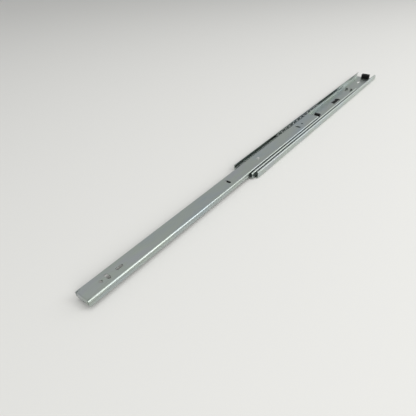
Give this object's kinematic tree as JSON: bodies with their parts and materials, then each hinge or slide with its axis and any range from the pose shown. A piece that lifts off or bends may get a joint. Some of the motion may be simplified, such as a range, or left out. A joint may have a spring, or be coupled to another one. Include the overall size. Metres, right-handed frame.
{
  "type": "cabinet drawer slide",
  "caption": "Full-extension ball-bearing drawer slide of zinc-plated steel: telescoping cabinet, intermediate and drawer members with ball cages and a release lever.",
  "frame": {"origin": "front end of the cabinet member, on the centre line of its back face", "axes": "+X out of the cabinet, the way the drawer opens; +Y across the slide; +Z from the cabinet side to the drawer side"},
  "size_m": [0.856, 0.045, 0.0122],
  "materials": {
    "zinc_steel": "zinc-plated rolled strip, satin with a slight blue tint",
    "cage_steel": "thin zinc-plated strip, brighter than the members",
    "ball_steel": "polished bearing balls with a film of grease",
    "rivet_steel": "plated rivet, flush head",
    "black_plastic": "moulded black plastic, semi-matt",
    "black_rubber": "matt black rubber"
  },
  "bodies": {
    "cabinet": {"cabinet_member": "zinc_steel", "rear_bumper": "black_plastic", "rear_stop_cushions": "black_rubber"},
    "outer_cages": {"outer_cage_left": "cage_steel", "outer_cage_right": "cage_steel", "outer_balls_left": "ball_steel", "outer_balls_right": "ball_steel"},
    "intermediate": {"intermediate_member": "zinc_steel", "front_stop_cushion": "black_rubber"},
    "sequence_latch": {"sequence_latch": "black_plastic"},
    "inner_cage": {"inner_cage": "cage_steel", "inner_balls_left": "ball_steel", "inner_balls_right": "ball_steel", "cage_buffer": "black_plastic"},
    "drawer": {"drawer_member": "zinc_steel", "lever_rivet": "rivet_steel"},
    "release_lever": {"release_lever": "black_plastic"}
  },
  "joints": [
    {"name": "intermediate_slide", "type": "slide", "parent": "cabinet", "child": "intermediate", "axis": [1, 0, 0], "range_m": [0, 0.25]},
    {"name": "outer_cage_slide", "type": "slide", "parent": "cabinet", "child": "outer_cages", "axis": [1, 0, 0], "range_m": [0, 0.125]},
    {"name": "drawer_slide", "type": "slide", "parent": "intermediate", "child": "drawer", "axis": [1, 0, 0], "range_m": [-0.3, 0]},
    {"name": "inner_cage_slide", "type": "slide", "parent": "intermediate", "child": "inner_cage", "axis": [1, 0, 0], "range_m": [-0.15, 0]},
    {"name": "release_lever_pivot", "type": "hinge", "parent": "drawer", "child": "release_lever", "pos_m": [-0.036, 0, 0.0092], "axis": [0, 0, 1], "range_deg": [-3.5, 0], "stiffness_Nm_per_rad": 0.05},
    {"name": "sequence_latch_pivot", "type": "hinge", "parent": "intermediate", "child": "sequence_latch", "pos_m": [-0.366, 0, 0.0022], "axis": [0, 0, 1], "range_deg": [-4, 4]}
  ],
  "couplings": [
    {"joint": "outer_cage_slide", "follows": "intermediate_slide", "ratio": 0.5},
    {"joint": "inner_cage_slide", "follows": "drawer_slide", "ratio": 0.5}
  ]
}
